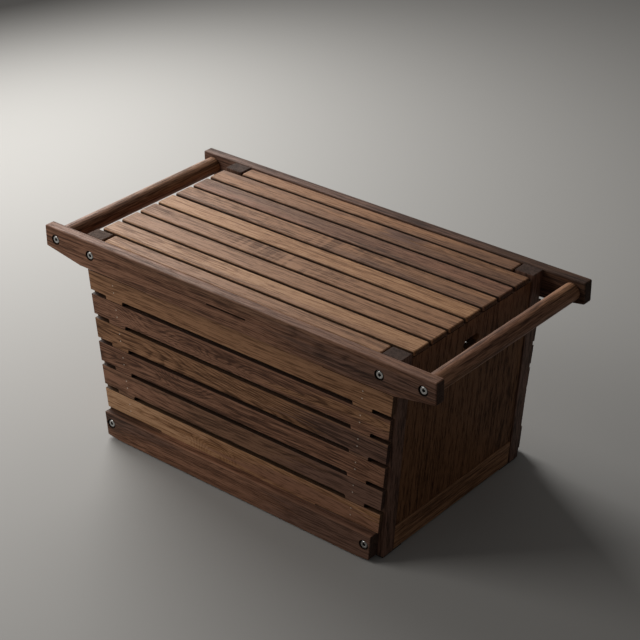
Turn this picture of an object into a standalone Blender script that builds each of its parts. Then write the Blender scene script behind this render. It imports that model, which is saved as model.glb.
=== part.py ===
"""A slatted walnut storage crate with leaning ends, two round carry handles and a lift-off slatted lid.

Units are metres. +X runs along the crate, +Y from front to back and +Z up. The origin is on the floor,
under the middle of the crate.
"""

import math

import bmesh
import bpy

# Overall sizes. The box is shorter than the crate by an overhang for the handle at each end.
CRATE_LENGTH = 0.900
CRATE_DEPTH = 0.457
CRATE_HEIGHT = 0.4095
HANDLE_OVERHANG = 0.087
END_TAPER = 0.0335

# Clearance between two pieces that touch, and round a bolt in its hole.
TOUCH_GAP = 0.0003
HOLE_CLEARANCE = 0.0003

# Long rails.
TOP_RAIL_THICKNESS = 0.022
TOP_RAIL_DEPTH = 0.0575
TOP_RAIL_END_DEPTH = 0.0425
TOP_RAIL_ARRIS = 0.0028
BOTTOM_RAIL_THICKNESS = 0.0245
BOTTOM_RAIL_DEPTH = 0.053
BOTTOM_RAIL_ARRIS = 0.0015
BOTTOM_RAIL_STEP_IN = 0.0045
FOOT_RELIEF_LENGTH = 0.031
FOOT_RELIEF_HEIGHT = 0.003
SLOT_LENGTH = 0.090
SLOT_HEIGHT = 0.0035
SLOT_DROP = 0.028

# Corner posts.
POST_WIDTH = 0.040
POST_DEPTH = 0.0297
POST_TOP_DROP = 0.001
POST_ARRIS = 0.0015

# Front and back slats.
SLAT_COUNT = 6
SLAT_THICKNESS = 0.010
SLAT_GAP = 0.009
SLAT_TOP_GAP = 0.009
SLAT_BOTTOM_GAP = 0.0028
SLAT_ARRIS = 0.0012
SLAT_INSET_TOP = 0.001
SLAT_INSET_FOOT = 0.009
TAB_LENGTH = 0.041
TAB_CLEARANCE = 0.0012
TAB_FROM_POST = 0.003
NOTCH_RADIUS = 0.004
TOP_SLAT_NOTCH_LENGTH = 0.160
BOTTOM_SLAT_NOTCH_LENGTH = 0.148

# Upright cleats that the slats are nailed to, one beside each post.
CLEAT_THICKNESS = 0.012
CLEAT_ARRIS = 0.0012
CLEAT_BATTEN_CLEARANCE = 0.002

# Ends.
PANEL_THICKNESS = 0.012
PANEL_RECESS = 0.0025
PANEL_SHADOW_GAP = 0.0020
TONGUE_THICKNESS = 0.005
TONGUE_LENGTH = 0.006
GROOVE_CLEARANCE = 0.0005
END_RAIL_THICKNESS = 0.020
END_RAIL_DEPTH = 0.0495
END_RAIL_RECESS = 0.001
FINGER_HOLE_WIDTH = 0.044
FINGER_HOLE_HEIGHT = 0.018
FINGER_HOLE_DROP = 0.057

# Handles.
HANDLE_DIAMETER = 0.034
HANDLE_DROP = 0.0235
HANDLE_FROM_RAIL_END = 0.0265
HANDLE_SIDES = 40

# Lid.
LID_TOP_DROP = 0.002
LID_THICKNESS = 0.010
LID_BOARD_COUNT = 7
LID_BOARD_GAP = 0.0060
LID_SIDE_CLEARANCE = 0.0080
LID_END_INSET = 0.0025
LID_BOARD_ARRIS = 0.0030
LID_CORNER_RADIUS = 0.0045
SIDE_BOARD_RAIL_GAP = 0.002
SIDE_BOARD_POST_GAP = 0.0025
BATTEN_COUNT = 2
BATTEN_WIDTH = 0.030
BATTEN_THICKNESS = 0.012
BATTEN_FROM_BOX_END = 0.095
BATTEN_END_CLEARANCE = 0.006

# Floor.
FLOOR_THICKNESS = 0.012
FLOOR_CLEARANCE = 0.0006
BEARER_THICKNESS = 0.018
BEARER_DEPTH = 0.014
BEARER_LIFT = 0.008
BEARER_END_CLEARANCE = 0.004

# Foot pads.
PAD_THICKNESS = 0.003
PAD_WIDTH = 0.030
PAD_LENGTH = 0.053
PAD_INSET = 0.002

# Bolts.
BOLT_HEAD_DIAMETER = 0.0145
BOLT_HEAD_HEIGHT = 0.003
BOLT_SHANK_DIAMETER = 0.006
BOLT_LENGTH = 0.040
BOLT_SOCKET_ACROSS = 0.005
BOLT_SOCKET_DEPTH = 0.0020
BOLT_FROM_POST_EDGE = 0.026
BOLT_END_CLEARANCE = 0.001
POST_BOLT_DROP = 0.028
FOOT_BOLT_HEIGHT = 0.0335
COUNTERBORE_DIAMETER = 0.020
COUNTERBORE_DEPTH = 0.0045
ROUND_SIDES = 24

# Derived sizes.
TOP_HALF = CRATE_LENGTH / 2 - HANDLE_OVERHANG
RAIL_INNER_Y = CRATE_DEPTH / 2 - BOTTOM_RAIL_THICKNESS
TOP_RAIL_OUTER_Y = RAIL_INNER_Y + TOP_RAIL_THICKNESS
BOTTOM_RAIL_OUTER_Y = RAIL_INNER_Y + BOTTOM_RAIL_THICKNESS
POST_OUTER_Y = RAIL_INNER_Y - TOUCH_GAP
POST_INNER_Y = POST_OUTER_Y - POST_DEPTH
TOP_RAIL_UNDERSIDE = CRATE_HEIGHT - TOP_RAIL_DEPTH
POST_TOP = CRATE_HEIGHT - POST_TOP_DROP
LID_TOP = CRATE_HEIGHT - LID_TOP_DROP
LID_UNDERSIDE = LID_TOP - LID_THICKNESS
PANEL_TOP = LID_UNDERSIDE - TOUCH_GAP
BOTTOM_RAIL_TOP = PAD_THICKNESS + BOTTOM_RAIL_DEPTH
END_RAIL_TOP = PAD_THICKNESS + END_RAIL_DEPTH
HANDLE_X = CRATE_LENGTH / 2 - HANDLE_FROM_RAIL_END
HANDLE_Z = CRATE_HEIGHT - HANDLE_DROP
POST_BOLT_Z = CRATE_HEIGHT - POST_BOLT_DROP
FLOOR_UNDERSIDE = BEARER_LIFT + BEARER_DEPTH + TOUCH_GAP
LEAN = END_TAPER / CRATE_HEIGHT
SLAT_FACE_HEIGHT = TOP_RAIL_UNDERSIDE - BOTTOM_RAIL_TOP
SLAT_GAPS = SLAT_TOP_GAP + SLAT_BOTTOM_GAP + (SLAT_COUNT - 1) * SLAT_GAP
SLAT_WIDTH = (SLAT_FACE_HEIGHT - SLAT_GAPS) / SLAT_COUNT

SIDES = {"left": -1, "right": 1}
FACES = {"front": -1, "back": 1}


def box_half(z):
    """Half the box's length, to the outer faces of the posts, at height z."""
    return TOP_HALF + LEAN * (z - CRATE_HEIGHT)


def slat_half(z):
    """Half the length of the slatted face at height z."""
    share = z / CRATE_HEIGHT
    return box_half(z) - SLAT_INSET_FOOT * (1 - share) - SLAT_INSET_TOP * share


# Helpers for objects, meshes and materials.

def clear_scene():
    for obj in list(bpy.data.objects):
        bpy.data.objects.remove(obj, do_unlink=True)


def new_collection(name):
    collection = bpy.data.collections.new(name)
    bpy.context.scene.collection.children.link(collection)
    return collection


clear_scene()
CRATE = new_collection("slatted_crate")
CUTTERS = new_collection("cutters")


def make_material(name, colour, roughness, metallic=0.0):
    material = bpy.data.materials.new(name)
    material.use_nodes = True
    shader = material.node_tree.nodes["Principled BSDF"]
    shader.inputs["Base Color"].default_value = (*colour, 1.0)
    shader.inputs["Roughness"].default_value = roughness
    shader.inputs["Metallic"].default_value = metallic
    return material


def new_object(name, mesh, material=None, collection=None):
    obj = bpy.data.objects.new(name, mesh)
    (collection or CRATE).objects.link(obj)
    if material:
        mesh.materials.append(material)
    return obj


def new_cutter(name, mesh):
    cutter = new_object(name, mesh, collection=CUTTERS)
    cutter.hide_render = True
    cutter.display_type = "WIRE"
    return cutter


def box_mesh(name, low, high):
    """A box between two corners."""
    mesh = bpy.data.meshes.new(name)
    shape = bmesh.new()
    bmesh.ops.create_cube(shape, size=1.0)
    for vert in shape.verts:
        for axis in range(3):
            vert.co[axis] = high[axis] if vert.co[axis] > 0 else low[axis]
    shape.to_mesh(mesh)
    shape.free()
    return mesh


def round_mesh(name, radius, length, sides):
    """A cylinder along local Z, centred on the origin."""
    mesh = bpy.data.meshes.new(name)
    shape = bmesh.new()
    bmesh.ops.create_cone(
        shape, cap_ends=True, segments=sides, radius1=radius, radius2=radius, depth=length
    )
    shape.to_mesh(mesh)
    shape.free()
    return mesh


def outline_mesh(name, points, thickness):
    """A flat board with this outline in local XY, thickness along local Z, centred on z = 0."""
    curve = bpy.data.curves.new(name, "CURVE")
    curve.dimensions = "2D"
    curve.fill_mode = "BOTH"
    curve.extrude = thickness / 2
    spline = curve.splines.new("POLY")
    spline.points.add(len(points) - 1)
    for point, (x, y) in zip(spline.points, points):
        point.co = (x, y, 0.0, 1.0)
    spline.use_cyclic_u = True
    guide = new_object(name + "_outline", curve, collection=CUTTERS)
    graph = bpy.context.evaluated_depsgraph_get()
    mesh = bpy.data.meshes.new_from_object(guide.evaluated_get(graph))
    mesh.name = name
    bpy.data.objects.remove(guide, do_unlink=True)
    bpy.data.curves.remove(curve)
    shape = bmesh.new()
    shape.from_mesh(mesh)
    bmesh.ops.remove_doubles(shape, verts=shape.verts, dist=1e-6)
    bmesh.ops.dissolve_limit(
        shape, angle_limit=math.radians(0.5), verts=shape.verts, edges=shape.edges
    )
    bmesh.ops.recalc_face_normals(shape, faces=shape.faces)
    shape.to_mesh(mesh)
    shape.free()
    return mesh


def stand_outline_up(mesh, y):
    """Turns an outline drawn in XY into one in XZ, with its middle at this y."""
    for vert in mesh.vertices:
        flat_x, flat_y, out = vert.co
        vert.co = (flat_x, y - out, flat_y)


def lean_mesh(mesh, side):
    """Leans an upright end piece inwards towards the floor. It stays put at the crate's full height."""
    for vert in mesh.vertices:
        vert.co.x += side * LEAN * (vert.co.z - CRATE_HEIGHT)


def round_edges(obj, width, segments=2):
    bevel = obj.modifiers.new("eased_edges", "BEVEL")
    bevel.width = width
    bevel.segments = segments
    bevel.limit_method = "ANGLE"
    bevel.angle_limit = math.radians(40)
    bevel.use_clamp_overlap = True


def cut(obj, cutter):
    difference = obj.modifiers.new("cut", "BOOLEAN")
    difference.operation = "DIFFERENCE"
    difference.solver = "EXACT"
    difference.object = cutter


def smooth_round_faces(mesh):
    mesh.shade_smooth()
    mesh.set_sharp_from_angle(angle=math.radians(35))


def turned(name, profile, sides, collection=None, material=None):
    """A turned piece around local Z. The profile lists (radius, z) from the top of the axis to its foot."""
    mesh = bpy.data.meshes.new(name)
    mesh.from_pydata(
        [(radius, 0.0, z) for radius, z in profile],
        [(index, index + 1) for index in range(len(profile) - 1)],
        [],
    )
    obj = new_object(name, mesh, material, collection)
    screw = obj.modifiers.new("turned", "SCREW")
    screw.axis = "Z"
    screw.steps = sides
    screw.render_steps = sides
    screw.use_merge_vertices = True
    screw.merge_threshold = 0.00001
    screw.use_smooth_shade = False
    return obj


def aim_along_y(obj, face):
    """Turns local +Z to face out of the front or the back of the crate."""
    obj.rotation_euler = (-face * math.radians(90), 0.0, 0.0)


def arc(centre_x, centre_y, radius, start, end, steps=4):
    """Points on an arc, angles in degrees."""
    points = []
    for index in range(steps + 1):
        angle = math.radians(start + (end - start) * index / steps)
        points.append((centre_x + radius * math.cos(angle), centre_y + radius * math.sin(angle)))
    return points


def mirrored(points):
    """A left half outline, listed from the middle round to the middle, joined to its mirror image."""
    return points + [(-x, y) for x, y in reversed(points)]


# Materials.

RAIL_WALNUT = make_material("rail_walnut", (0.16, 0.085, 0.055), 0.55)
POST_WALNUT = make_material("post_walnut", (0.10, 0.065, 0.050), 0.6)
SLAT_WALNUT = make_material("slat_walnut", (0.20, 0.11, 0.065), 0.55)
LID_WALNUT = make_material("lid_walnut", (0.33, 0.19, 0.11), 0.5)
PANEL_VENEER = make_material("panel_veneer", (0.11, 0.06, 0.038), 0.55)
HANDLE_WALNUT = make_material("handle_walnut", (0.26, 0.15, 0.10), 0.45)
FLOOR_PLY = make_material("floor_plywood", (0.30, 0.20, 0.12), 0.7)
BOLT_STEEL = make_material("bolt_steel", (0.62, 0.62, 0.60), 0.3, 1.0)
PAD_RUBBER = make_material("pad_rubber", (0.02, 0.02, 0.02), 0.8)


# Bolts. Each one goes through a rail, in a counterbored hole, and into a post or a handle.

BOLT_HEAD_SINK = COUNTERBORE_DEPTH - TOUCH_GAP - BOLT_HEAD_HEIGHT


def bolt_places():
    """(name, face, x, rail face's y, z) of all twelve bolts."""
    places = []
    for face_name, face in FACES.items():
        for side_name, side in SIDES.items():
            start = face_name + "_" + side_name
            post_x = side * (box_half(POST_BOLT_Z) - BOLT_FROM_POST_EDGE)
            foot_x = side * (box_half(FOOT_BOLT_HEIGHT) - BOLT_FROM_POST_EDGE)
            places.append((start + "_handle_bolt", face, side * HANDLE_X, TOP_RAIL_OUTER_Y, HANDLE_Z))
            places.append((start + "_post_bolt", face, post_x, TOP_RAIL_OUTER_Y, POST_BOLT_Z))
            places.append(
                (start + "_foot_bolt", face, foot_x, BOTTOM_RAIL_OUTER_Y, FOOT_BOLT_HEIGHT)
            )
    return places


def make_bolt(name, face, x, rail_y, z):
    head = BOLT_HEAD_DIAMETER / 2
    shank = BOLT_SHANK_DIAMETER / 2
    edge = BOLT_HEAD_HEIGHT / 4
    tip = -BOLT_HEAD_HEIGHT - BOLT_LENGTH
    profile = [
        (0.0, 0.0),
        (head - edge, 0.0),
        (head, -edge),
        (head, -BOLT_HEAD_HEIGHT),
        (shank, -BOLT_HEAD_HEIGHT),
        (shank, tip + shank / 2),
        (shank / 2, tip),
        (0.0, tip),
    ]
    bolt = turned(name, profile, ROUND_SIDES, material=BOLT_STEEL)
    socket_radius = BOLT_SOCKET_ACROSS / 2 / math.cos(math.radians(30))
    socket = new_cutter(
        name + "_socket", round_mesh(name + "_socket", socket_radius, 2 * BOLT_SOCKET_DEPTH, 6)
    )
    socket.parent = bolt
    cut(bolt, socket)
    bolt.location = (x, face * (rail_y - BOLT_HEAD_SINK), z)
    aim_along_y(bolt, face)


def bolt_hole(name, face, x, rail_y, z):
    """The stepped hole for one bolt, as a cutter: the counterbore, then the shank's hole."""
    wide = COUNTERBORE_DIAMETER / 2
    narrow = BOLT_SHANK_DIAMETER / 2 + HOLE_CLEARANCE
    above = 0.004
    foot = -COUNTERBORE_DEPTH - TOUCH_GAP - BOLT_LENGTH - BOLT_END_CLEARANCE
    profile = [
        (0.0, above),
        (wide, above),
        (wide, -COUNTERBORE_DEPTH),
        (narrow, -COUNTERBORE_DEPTH),
        (narrow, foot),
        (0.0, foot),
    ]
    hole = turned(name, profile, ROUND_SIDES, collection=CUTTERS)
    hole.hide_render = True
    hole.display_type = "WIRE"
    hole.location = (x, face * rail_y, z)
    aim_along_y(hole, face)
    return hole


BOLT_HOLES = {}
for place in bolt_places():
    make_bolt(*place)
    BOLT_HOLES[place[0]] = bolt_hole(place[0] + "_hole", *place[1:])


# Top rails. They run past the box at both ends and hold the handles.

def make_top_rail(face_name, face):
    name = face_name + "_top_rail"
    half = CRATE_LENGTH / 2
    end_underside = CRATE_HEIGHT - TOP_RAIL_END_DEPTH
    left = [(-half, CRATE_HEIGHT), (-half, end_underside), (-TOP_HALF, TOP_RAIL_UNDERSIDE)]
    mesh = outline_mesh(name, mirrored(left), TOP_RAIL_THICKNESS)
    middle_y = face * (RAIL_INNER_Y + TOP_RAIL_THICKNESS / 2)
    stand_outline_up(mesh, middle_y)
    rail = new_object(name, mesh, RAIL_WALNUT)
    round_edges(rail, TOP_RAIL_ARRIS, 3)
    slot_z = CRATE_HEIGHT - SLOT_DROP
    slot_low = (-SLOT_LENGTH / 2, middle_y - TOP_RAIL_THICKNESS, slot_z - SLOT_HEIGHT / 2)
    slot_high = (SLOT_LENGTH / 2, middle_y + TOP_RAIL_THICKNESS, slot_z + SLOT_HEIGHT / 2)
    cut(rail, new_cutter(name + "_slot", box_mesh(name + "_slot", slot_low, slot_high)))
    for side_name in SIDES:
        for kind in ("handle", "post"):
            cut(rail, BOLT_HOLES[f"{face_name}_{side_name}_{kind}_bolt"])


# Bottom rails. The underside of each one rises a little towards its two ends.

def make_bottom_rail(face_name, face):
    name = face_name + "_bottom_rail"
    top_half = slat_half(BOTTOM_RAIL_TOP) - BOTTOM_RAIL_STEP_IN
    foot_half = top_half - LEAN * BOTTOM_RAIL_DEPTH
    left = [
        (-top_half, BOTTOM_RAIL_TOP),
        (-foot_half, PAD_THICKNESS + FOOT_RELIEF_HEIGHT),
        (-foot_half + FOOT_RELIEF_LENGTH, PAD_THICKNESS),
    ]
    mesh = outline_mesh(name, mirrored(left), BOTTOM_RAIL_THICKNESS)
    stand_outline_up(mesh, face * (RAIL_INNER_Y + BOTTOM_RAIL_THICKNESS / 2))
    rail = new_object(name, mesh, RAIL_WALNUT)
    round_edges(rail, BOTTOM_RAIL_ARRIS)
    for side_name in SIDES:
        cut(rail, BOLT_HOLES[f"{face_name}_{side_name}_foot_bolt"])


# Slats. A tab on the lower edge of each one closes the gap beside each post.

def slat_bottom(number):
    """Height of the lower edge of slat 1 to SLAT_COUNT, counted from the top, without its tabs."""
    return TOP_RAIL_UNDERSIDE - SLAT_TOP_GAP - number * SLAT_WIDTH - (number - 1) * SLAT_GAP


def notch_corner(x, edge_z, reach_z):
    """A rounded inner corner where an edge at edge_z turns into a side at x that runs to reach_z."""
    radius = min(NOTCH_RADIUS, abs(reach_z - edge_z) * 0.6)
    if reach_z < edge_z:
        return arc(x - radius, edge_z - radius, radius, 90, 0, 3)
    return arc(x - radius, edge_z + radius, radius, -90, 0, 3)


def slat_outline(number):
    """The left half of a slat's outline: from the middle of its top edge round to its bottom edge."""
    low = slat_bottom(number)
    high = low + SLAT_WIDTH
    points = []
    if number == 1:
        top_edge = TOP_RAIL_UNDERSIDE - TOUCH_GAP
        corner_x = TOP_SLAT_NOTCH_LENGTH - TOP_HALF
        points.append((corner_x, top_edge))
        points += reversed(notch_corner(corner_x, high, top_edge))
    points.append((-slat_half(high), high))
    points.append((-slat_half(low), low))
    if number == SLAT_COUNT:
        bottom_edge = BOTTOM_RAIL_TOP + TOUCH_GAP
        corner_x = BOTTOM_SLAT_NOTCH_LENGTH - box_half(low)
        points += notch_corner(corner_x, low, bottom_edge)
        points.append((corner_x, bottom_edge))
    else:
        tab_edge = low - SLAT_GAP + TAB_CLEARANCE
        outer_x = -(box_half(low) - POST_WIDTH - TAB_FROM_POST)
        inner_x = outer_x + TAB_LENGTH
        points += notch_corner(outer_x, low, tab_edge)
        points.append((outer_x, tab_edge))
        points.append((inner_x, tab_edge))
        points += [(2 * inner_x - x, z) for x, z in reversed(notch_corner(inner_x, low, tab_edge))]
    return points


def make_slat(face_name, face, number):
    name = f"{face_name}_slat_{number}"
    mesh = outline_mesh(name, mirrored(slat_outline(number)), SLAT_THICKNESS)
    stand_outline_up(mesh, face * (RAIL_INNER_Y + SLAT_THICKNESS / 2))
    slat = new_object(name, mesh, SLAT_WALNUT)
    round_edges(slat, SLAT_ARRIS, 1)


# Cleats. Each one stands on the floor board beside a post, behind the tabs of the slats nailed to it.

def make_cleat(face_name, face, side_name, side):
    name = f"{face_name}_{side_name}_slat_cleat"
    outer = TOP_HALF - POST_WIDTH - TOUCH_GAP
    inner = TOP_HALF - POST_WIDTH - TAB_FROM_POST - TAB_LENGTH
    xs = sorted((side * outer, side * inner))
    ys = sorted((face * POST_OUTER_Y, face * (POST_OUTER_Y - CLEAT_THICKNESS)))
    foot = FLOOR_UNDERSIDE + FLOOR_THICKNESS + TOUCH_GAP
    top = LID_UNDERSIDE - TOUCH_GAP - BATTEN_THICKNESS - CLEAT_BATTEN_CLEARANCE
    mesh = box_mesh(name, (xs[0], ys[0], foot), (xs[1], ys[1], top))
    lean_mesh(mesh, side)
    cleat = new_object(name, mesh, POST_WALNUT)
    round_edges(cleat, CLEAT_ARRIS, 1)


# Corner posts, grooved for the end panel's tongue.

PANEL_TONGUE_Y = POST_INNER_Y + TONGUE_LENGTH
TONGUE_OUTER_X = TOP_HALF - PANEL_RECESS - (PANEL_THICKNESS - TONGUE_THICKNESS) / 2
TONGUE_FOOT = END_RAIL_TOP - TONGUE_LENGTH


def groove_cutter(side_name, side):
    """The groove for the whole tongue of one end panel, in both posts and in the end rail."""
    wall = GROOVE_CLEARANCE
    xs = sorted((side * (TONGUE_OUTER_X + wall), side * (TONGUE_OUTER_X - TONGUE_THICKNESS - wall)))
    low = (xs[0], -PANEL_TONGUE_Y - wall, TONGUE_FOOT - wall)
    high = (xs[1], PANEL_TONGUE_Y + wall, PANEL_TOP + wall)
    mesh = box_mesh(side_name + "_groove", low, high)
    lean_mesh(mesh, side)
    return new_cutter(side_name + "_groove", mesh)


def make_post(face_name, face, side_name, side, groove):
    name = f"{face_name}_{side_name}_post"
    xs = sorted((side * TOP_HALF, side * (TOP_HALF - POST_WIDTH)))
    ys = sorted((face * POST_OUTER_Y, face * POST_INNER_Y))
    mesh = box_mesh(name, (xs[0], ys[0], PAD_THICKNESS), (xs[1], ys[1], POST_TOP))
    lean_mesh(mesh, side)
    post = new_object(name, mesh, POST_WALNUT)
    round_edges(post, POST_ARRIS)
    cut(post, groove)
    for kind in ("post", "foot"):
        cut(post, BOLT_HOLES[f"{face_name}_{side_name}_{kind}_bolt"])


# End panels and end rails.

def finger_hole_cutter(side_name, side):
    """An oblong finger hole, drawn flat and turned to go through the panel along X."""
    radius = FINGER_HOLE_HEIGHT / 2
    straight = FINGER_HOLE_WIDTH / 2 - radius
    centre_z = CRATE_HEIGHT - FINGER_HOLE_DROP
    points = arc(straight, 0.0, radius, -90, 90, 10) + arc(-straight, 0.0, radius, 90, 270, 10)
    mesh = outline_mesh(side_name + "_finger_hole", points, 6 * PANEL_THICKNESS)
    for vert in mesh.vertices:
        across, up, along = vert.co
        vert.co = (side * TOP_HALF + along, across, centre_z + up)
    return new_cutter(side_name + "_finger_hole", mesh)


def make_end_panel(side_name, side):
    name = side_name + "_end_panel"
    outer = TOP_HALF - PANEL_RECESS
    xs = sorted((side * outer, side * (outer - PANEL_THICKNESS)))
    half_width = POST_INNER_Y - PANEL_SHADOW_GAP
    foot = END_RAIL_TOP + PANEL_SHADOW_GAP
    mesh = box_mesh(name, (xs[0], -half_width, foot), (xs[1], half_width, PANEL_TOP))
    lean_mesh(mesh, side)
    panel = new_object(name, mesh, PANEL_VENEER)
    xs = sorted((side * TONGUE_OUTER_X, side * (TONGUE_OUTER_X - TONGUE_THICKNESS)))
    tongue_top = PANEL_TOP - 2 * PANEL_SHADOW_GAP
    low = (xs[0], -PANEL_TONGUE_Y, TONGUE_FOOT)
    high = (xs[1], PANEL_TONGUE_Y, tongue_top)
    tongue_mesh = box_mesh(name + "_tongue", low, high)
    lean_mesh(tongue_mesh, side)
    join = panel.modifiers.new("tongue", "BOOLEAN")
    join.operation = "UNION"
    join.solver = "EXACT"
    join.object = new_cutter(name + "_tongue", tongue_mesh)
    cut(panel, finger_hole_cutter(side_name, side))


def make_end_rail(side_name, side, groove):
    name = side_name + "_end_rail"
    outer = TOP_HALF - END_RAIL_RECESS
    xs = sorted((side * outer, side * (outer - END_RAIL_THICKNESS)))
    half_width = POST_INNER_Y - TOUCH_GAP
    mesh = box_mesh(name, (xs[0], -half_width, PAD_THICKNESS), (xs[1], half_width, END_RAIL_TOP))
    lean_mesh(mesh, side)
    rail = new_object(name, mesh, RAIL_WALNUT)
    round_edges(rail, POST_ARRIS)
    cut(rail, groove)


# Handles. Each one is a round bar between the two top rails, held by a bolt in each end.

def make_handle(side_name, side):
    name = side_name + "_handle"
    mesh = round_mesh(name, HANDLE_DIAMETER / 2, 2 * POST_OUTER_Y, HANDLE_SIDES)
    smooth_round_faces(mesh)
    handle = new_object(name, mesh, HANDLE_WALNUT)
    handle.location = (side * HANDLE_X, 0.0, HANDLE_Z)
    handle.rotation_euler = (math.radians(90), 0.0, 0.0)
    for face_name in FACES:
        cut(handle, BOLT_HOLES[f"{face_name}_{side_name}_handle_bolt"])


# Lid. Seven long boards lie over the end panels, two short ones lie beside the rails, all on battens.

LID_HALF_WIDTH = POST_INNER_Y - LID_SIDE_CLEARANCE
LID_PITCH = (2 * LID_HALF_WIDTH + LID_BOARD_GAP) / LID_BOARD_COUNT


def make_lid_board(name, half_length, near, far):
    """A board along X between two values of y. Its corners are rounded as seen from above."""
    radius = LID_CORNER_RADIUS
    in_x = half_length - radius
    points = arc(in_x, far - radius, radius, 0, 90)
    points += arc(-in_x, far - radius, radius, 90, 180)
    points += arc(-in_x, near + radius, radius, 180, 270)
    points += arc(in_x, near + radius, radius, 270, 360)
    mesh = outline_mesh(name, points, LID_THICKNESS)
    for vert in mesh.vertices:
        vert.co.z += LID_TOP - LID_THICKNESS / 2
    board = new_object(name, mesh, LID_WALNUT)
    round_edges(board, LID_BOARD_ARRIS, 3)


def make_lid_boards():
    half_length = box_half(LID_TOP) - LID_END_INSET
    for number in range(1, LID_BOARD_COUNT + 1):
        start = -LID_HALF_WIDTH + (number - 1) * LID_PITCH
        make_lid_board(f"lid_board_{number}", half_length, start, start + LID_PITCH - LID_BOARD_GAP)


def make_lid_side_boards():
    half_length = box_half(LID_UNDERSIDE) - POST_WIDTH - SIDE_BOARD_POST_GAP
    for face_name, face in FACES.items():
        near = LID_HALF_WIDTH + LID_BOARD_GAP
        far = RAIL_INNER_Y - SIDE_BOARD_RAIL_GAP
        make_lid_board(f"lid_{face_name}_board", half_length, *sorted((face * near, face * far)))


def make_lid_battens():
    top = LID_UNDERSIDE - TOUCH_GAP
    half_length = RAIL_INNER_Y - BATTEN_END_CLEARANCE
    outermost = box_half(top) - BATTEN_FROM_BOX_END
    for number in range(1, BATTEN_COUNT + 1):
        middle = outermost * (2 * (number - 1) / (BATTEN_COUNT - 1) - 1)
        low = (middle - BATTEN_WIDTH / 2, -half_length, top - BATTEN_THICKNESS)
        high = (middle + BATTEN_WIDTH / 2, half_length, top)
        name = f"lid_batten_{number}"
        batten = new_object(name, box_mesh(name, low, high), LID_WALNUT)
        round_edges(batten, POST_ARRIS, 1)


# Floor board, notched round the posts, and the two strips that carry it.

def make_floor_board():
    long_half = box_half(FLOOR_UNDERSIDE) - END_RAIL_RECESS - END_RAIL_THICKNESS - FLOOR_CLEARANCE
    short_half = box_half(FLOOR_UNDERSIDE) - POST_WIDTH - FLOOR_CLEARANCE
    wide_half = RAIL_INNER_Y - FLOOR_CLEARANCE
    narrow_half = POST_INNER_Y - FLOOR_CLEARANCE
    left = [
        (-short_half, wide_half),
        (-short_half, narrow_half),
        (-long_half, narrow_half),
        (-long_half, -narrow_half),
        (-short_half, -narrow_half),
        (-short_half, -wide_half),
    ]
    mesh = outline_mesh("floor_board", mirrored(left), FLOOR_THICKNESS)
    for vert in mesh.vertices:
        vert.co.z += FLOOR_UNDERSIDE + FLOOR_THICKNESS / 2
    new_object("floor_board", mesh, FLOOR_PLY)


def make_floor_bearers():
    half_length = box_half(BEARER_LIFT) - POST_WIDTH - BEARER_END_CLEARANCE
    for face_name, face in FACES.items():
        ys = sorted((face * POST_OUTER_Y, face * (POST_OUTER_Y - BEARER_THICKNESS)))
        name = face_name + "_floor_bearer"
        low = (-half_length, ys[0], BEARER_LIFT)
        high = (half_length, ys[1], BEARER_LIFT + BEARER_DEPTH)
        bearer = new_object(name, box_mesh(name, low, high), RAIL_WALNUT)
        round_edges(bearer, POST_ARRIS, 1)


# Foot pads, one under each corner, stuck to the post and the end of the end rail.

def make_foot_pads():
    for face_name, face in FACES.items():
        for side_name, side in SIDES.items():
            name = f"{face_name}_{side_name}_foot_pad"
            outer = box_half(0.0) - PAD_INSET
            far = POST_OUTER_Y - PAD_INSET
            xs = sorted((side * outer, side * (outer - PAD_WIDTH)))
            ys = sorted((face * far, face * (far - PAD_LENGTH)))
            low = (xs[0], ys[0], 0.0)
            high = (xs[1], ys[1], PAD_THICKNESS - TOUCH_GAP)
            new_object(name, box_mesh(name, low, high), PAD_RUBBER)


# The whole crate.

for this_face_name, this_face in FACES.items():
    make_top_rail(this_face_name, this_face)
    make_bottom_rail(this_face_name, this_face)
    for slat_number in range(1, SLAT_COUNT + 1):
        make_slat(this_face_name, this_face, slat_number)
for this_side_name, this_side in SIDES.items():
    end_groove = groove_cutter(this_side_name, this_side)
    for this_face_name, this_face in FACES.items():
        make_post(this_face_name, this_face, this_side_name, this_side, end_groove)
        make_cleat(this_face_name, this_face, this_side_name, this_side)
    make_end_panel(this_side_name, this_side)
    make_end_rail(this_side_name, this_side, end_groove)
    make_handle(this_side_name, this_side)
make_lid_boards()
make_lid_side_boards()
make_lid_battens()
make_floor_board()
make_floor_bearers()
make_foot_pads()
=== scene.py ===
"""A slatted walnut crate with a lift-off lid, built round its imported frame. Metres, +Z up."""

import math

import bpy
from mathutils import Matrix, Vector


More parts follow.
